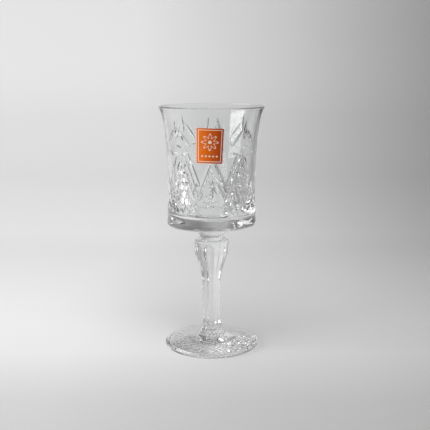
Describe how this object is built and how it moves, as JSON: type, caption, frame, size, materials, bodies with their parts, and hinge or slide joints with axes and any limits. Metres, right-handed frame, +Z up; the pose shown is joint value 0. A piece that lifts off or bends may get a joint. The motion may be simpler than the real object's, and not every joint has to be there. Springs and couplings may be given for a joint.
{
  "type": "juice glass",
  "caption": "Stemmed clear pressed-glass juice goblet: flared mitre-cut bowl, merese, faceted baluster stem, round foot and a small label.",
  "frame": {"origin": "centre of the foot's resting ring, on the surface that the glass stands on", "axes": "+Z up the glass's axis from foot to rim, -Y the front that carries the label, +X to the right seen from the front"},
  "size_m": [0.0728, 0.0728, 0.1699],
  "materials": {
    "glass": "clear, fire-polished, slightly wavy from the mould",
    "label": "printed satin film"
  },
  "bodies": {
    "root": {"bowl": "glass", "merese": "glass", "stem": "glass", "foot": "glass", "label": "label"}
  },
  "joints": []
}
